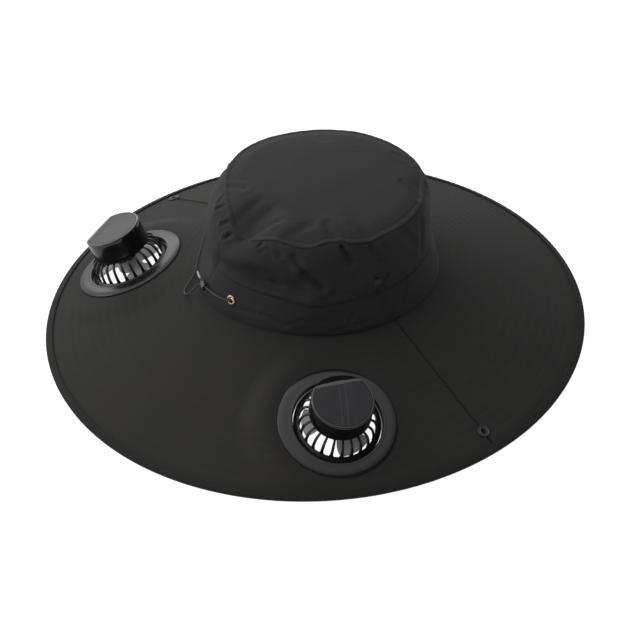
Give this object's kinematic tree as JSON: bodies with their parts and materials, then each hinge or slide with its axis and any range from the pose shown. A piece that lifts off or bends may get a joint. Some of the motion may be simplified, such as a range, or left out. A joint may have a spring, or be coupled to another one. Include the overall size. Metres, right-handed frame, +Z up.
{
  "type": "solar fan hat",
  "caption": "Wide-brimmed dark cloth sun hat with solar-powered fans let into the front of its quilted brim and a drawcord round the crown.",
  "frame": {"origin": "On the plane that the hat rests on, at the middle of the brim's outline, straight under the middle of the crown's base.", "axes": "+Z up through the crown; -Y towards the front, between the fans; +X along one straight seam of the brim, the other seam lying along -X."},
  "size_m": [0.437, 0.4544, 0.1381],
  "materials": {
    "crown_cloth": "closely woven charcoal cloth, matt",
    "brim_cloth": "stiffened charcoal cloth, quilted with concentric stitching",
    "edge_tape": "folded binding tape, darker than the brim",
    "drawcord_braid": "thin grey braided cord",
    "eyelet_brass": "rolled, slightly worn brass",
    "dark_metal": "dark lacquered metal",
    "satin_black_plastic": "moulded black plastic, satin",
    "black_gloss_plastic": "moulded black plastic, polished",
    "grey_plastic": "moulded grey plastic",
    "solar_cell": "dark photovoltaic cell under clear resin"
  },
  "bodies": {
    "hat": {"crown_top": "crown_cloth", "crown_side": "crown_cloth", "crown_band": "crown_cloth", "brim_front": "brim_cloth", "brim_back": "brim_cloth", "brim_binding": "edge_tape", "cord_bead": "black_gloss_plastic", "eyelet_right": "eyelet_brass", "drawcord_right": "drawcord_braid", "crown_stud_right": "dark_metal", "brim_stud_right": "dark_metal", "fan_right_flange": "satin_black_plastic", "fan_right_grille": "satin_black_plastic", "fan_right_drum": "black_gloss_plastic", "fan_right_solar_cell": "solar_cell", "fan_right_clamp_ring": "satin_black_plastic", "eyelet_left": "eyelet_brass", "drawcord_left": "drawcord_braid", "crown_stud_left": "dark_metal", "brim_stud_left": "dark_metal", "fan_left_flange": "satin_black_plastic", "fan_left_grille": "satin_black_plastic", "fan_left_drum": "black_gloss_plastic", "fan_left_solar_cell": "solar_cell", "fan_left_clamp_ring": "satin_black_plastic"},
    "rotor_right": {"fan_right_rotor": "grey_plastic"},
    "rotor_left": {"fan_left_rotor": "grey_plastic"}
  },
  "joints": [
    {"name": "rotor_right_spin", "type": "hinge", "parent": "hat", "child": "rotor_right", "pos_m": [0.13892, -0.09172, 0.02838], "axis": [0.3551, -0.1472, 0.9232], "continuous": true},
    {"name": "rotor_left_spin", "type": "hinge", "parent": "hat", "child": "rotor_left", "pos_m": [-0.12474, -0.09958, 0.03038], "axis": [-0.2957, -0.236, 0.9257], "continuous": true}
  ]
}
